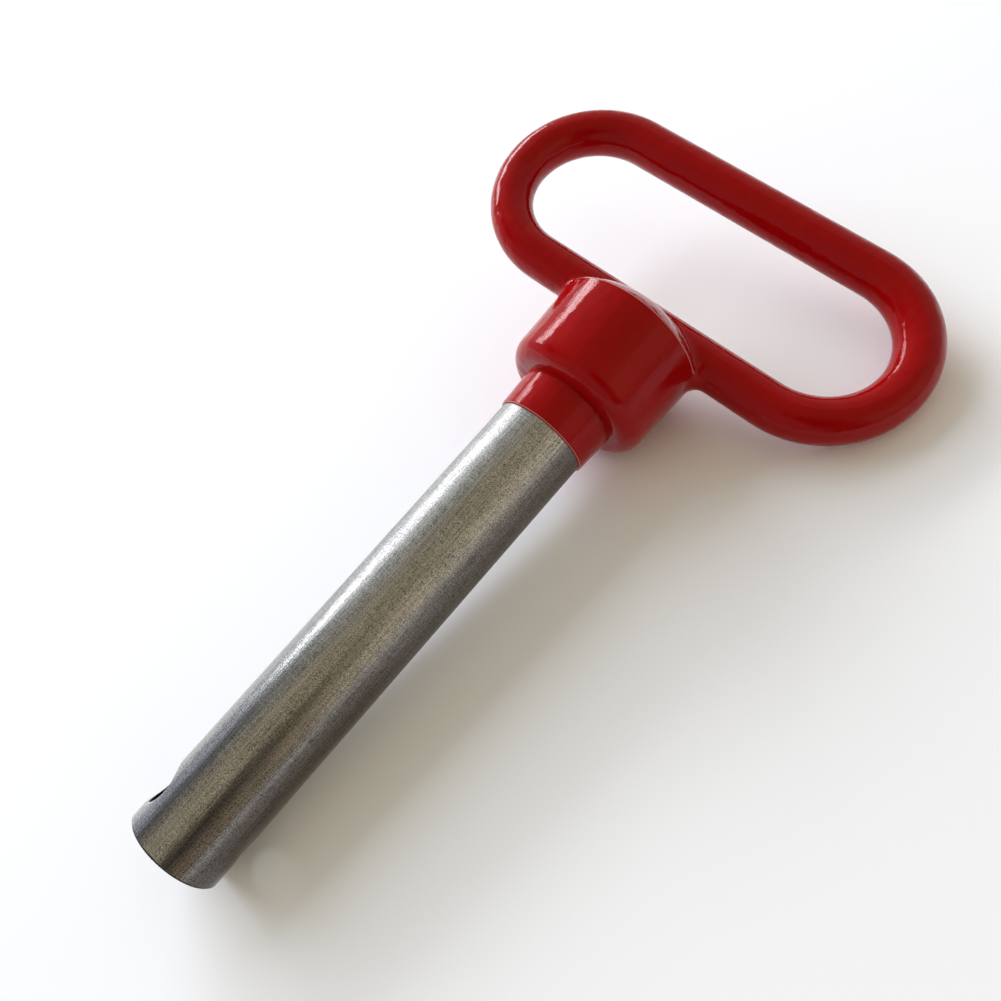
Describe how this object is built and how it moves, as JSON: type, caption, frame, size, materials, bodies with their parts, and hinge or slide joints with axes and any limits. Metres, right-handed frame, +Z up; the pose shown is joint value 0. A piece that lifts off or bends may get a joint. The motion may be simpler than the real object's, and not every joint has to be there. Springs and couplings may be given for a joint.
{
  "type": "rack latch pin",
  "caption": "Heavy steel latch pin with a cross hole near its tip, a stepped hub and a long looped grip.",
  "frame": {"origin": "on the surface that the pin lies on, under the middle of its bounding box", "axes": "+X from the shank's tip to the handle, +Z up from the surface, with the pin lying as it comes to rest"},
  "size_m": [0.2276, 0.1278, 0.0446],
  "materials": {
    "red_coat": "gloss",
    "plated_steel": "satin zinc plate"
  },
  "bodies": {
    "root": {"handle": "red_coat", "shank": "plated_steel"}
  },
  "joints": []
}
